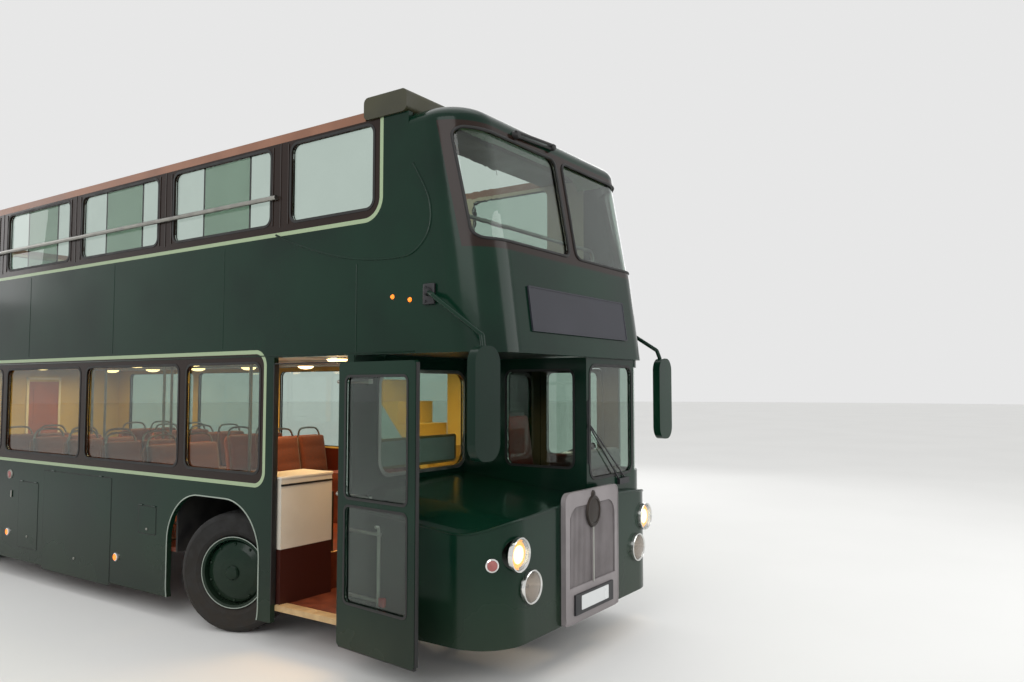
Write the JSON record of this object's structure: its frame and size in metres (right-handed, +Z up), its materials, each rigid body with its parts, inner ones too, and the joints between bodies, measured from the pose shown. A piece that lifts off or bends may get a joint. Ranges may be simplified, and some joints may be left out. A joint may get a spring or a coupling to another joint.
{
  "type": "open top double decker bus",
  "caption": "Open top double deck bus with a half cab and bonnet front, side entrance with an outswinging leaf, windowed upper deck sides and a short front roof.",
  "frame": {"origin": "on the ground, below the middle of the overall box", "axes": "front faces -Y, +X is the bus's left side, +Z is up"},
  "size_m": [3.07, 10.009, 4.27],
  "materials": {
    "body_green": "gloss coach paint",
    "chassis_black": "satin chassis paint",
    "floor_boards": "worn red-brown boards",
    "inner_panel": "cream interior paint",
    "shell_grey": "satin grey",
    "lamp_glass": "clear lamp glass in bright rims",
    "plate_dark": "matt dark grey",
    "trim_black": "black and maroon trim",
    "bronze_rail": "bronze-brown",
    "tube_metal": "handrail tube",
    "glass": "window glass",
    "counter_white": "off-white",
    "seat_cloth": "woven seat cloth",
    "mirror_green": "gloss green shell",
    "lamp_amber": "amber and red lenses",
    "wheel_green": "gloss green",
    "tyre": "black rubber"
  },
  "bodies": {
    "bus": {"lower_side_right": "body_green", "lower_side_left": "body_green", "upper_side_right": "body_green", "upper_side_left": "body_green", "upper_front_panel": "body_green", "front_dome": "body_green", "front_wings": "body_green", "bonnet": "body_green", "bulkhead": "body_green", "cab_shell": "body_green", "lower_rear_wall": "body_green", "upper_rear_wall": "body_green", "chassis_frame": "chassis_black", "front_axle_beam": "chassis_black", "rear_axle_housing": "chassis_black", "engine_block": "chassis_black", "lower_floor": "floor_boards", "upper_floor": "floor_boards", "wheel_boxes": "inner_panel", "saloon_end_wall": "inner_panel", "staircase": "inner_panel", "grille": "shell_grey", "headlamps": "lamp_glass", "blank_plates": "plate_dark", "driver_controls": "trim_black", "wipers": "trim_black", "top_rail": "bronze_rail", "roof_stack_housing": "bronze_rail", "handrails": "tube_metal", "guard_rails": "tube_metal", "lower_glass": "glass", "upper_glass": "glass", "counter": "counter_white", "lower_seats": "seat_cloth", "upper_seats": "seat_cloth", "mirrors": "mirror_green", "small_lamps": "lamp_amber"},
    "left_knuckle": {"knuckle_left": "chassis_black"},
    "right_knuckle": {"knuckle_right": "chassis_black"},
    "front_left_wheel": {"wheel_front_left": "wheel_green", "tyre_front_left": "tyre"},
    "front_right_wheel": {"wheel_front_right": "wheel_green", "tyre_front_right": "tyre"},
    "rear_left_wheels": {"wheel_rear_left": "wheel_green", "tyre_rear_left": "tyre"},
    "rear_right_wheels": {"wheel_rear_right": "wheel_green", "tyre_rear_right": "tyre"},
    "cab_door_body": {"cab_door": "body_green", "cab_door_glass": "glass"},
    "engine_cover_body": {"engine_cover": "body_green"},
    "door_post_body": {"door_post": "tube_metal"},
    "door_leaf_body": {"door_leaf": "body_green", "door_glass": "glass"}
  },
  "joints": [
    {"name": "steer_left", "type": "hinge", "parent": "bus", "child": "left_knuckle", "pos_m": [0.85, -2.015, 0.51], "axis": [0, 0, 1], "range_deg": [-60, 16]},
    {"name": "steer_right", "type": "hinge", "parent": "bus", "child": "right_knuckle", "pos_m": [-0.85, -2.015, 0.51], "axis": [0, 0, 1], "range_deg": [-60, 16]},
    {"name": "front_left_spin", "type": "hinge", "parent": "left_knuckle", "child": "front_left_wheel", "pos_m": [1.04471, -1.93633, 0.51], "axis": [0.9272, 0.3746, 0], "continuous": true},
    {"name": "front_right_spin", "type": "hinge", "parent": "right_knuckle", "child": "front_right_wheel", "pos_m": [-1.04471, -2.09367, 0.51], "axis": [0.9272, 0.3746, 0], "continuous": true},
    {"name": "rear_left_spin", "type": "hinge", "parent": "bus", "child": "rear_left_wheels", "pos_m": [0.92, 2.975, 0.51], "axis": [1, 0, 0], "continuous": true},
    {"name": "rear_right_spin", "type": "hinge", "parent": "bus", "child": "rear_right_wheels", "pos_m": [-0.92, 2.975, 0.51], "axis": [1, 0, 0], "continuous": true},
    {"name": "cab_door_hinge", "type": "hinge", "parent": "bus", "child": "cab_door_body", "pos_m": [1.26, -4.44, 1.365], "axis": [0, 0, -1], "range_deg": [0, 75]},
    {"name": "engine_cover_hinge", "type": "hinge", "parent": "bus", "child": "engine_cover_body", "pos_m": [0, 4.995, 1.66], "axis": [1, 0, 0], "range_deg": [0, 80]},
    {"name": "door_post_turn", "type": "hinge", "parent": "bus", "child": "door_post_body", "pos_m": [-1.165, -3.53, 1.3], "axis": [0, 0, 1], "range_deg": [-148.61, 0]},
    {"name": "door_leaf_turn", "type": "hinge", "parent": "door_post_body", "child": "door_leaf_body", "pos_m": [-1.3999, -3.96685, 1.3], "axis": [0, 0, 1], "range_deg": [0, 154.62]}
  ],
  "couplings": [
    {"joint": "steer_right", "follows": "steer_left", "ratio": 1},
    {"joint": "door_leaf_turn", "follows": "door_post_turn", "ratio": -1.0404}
  ]
}
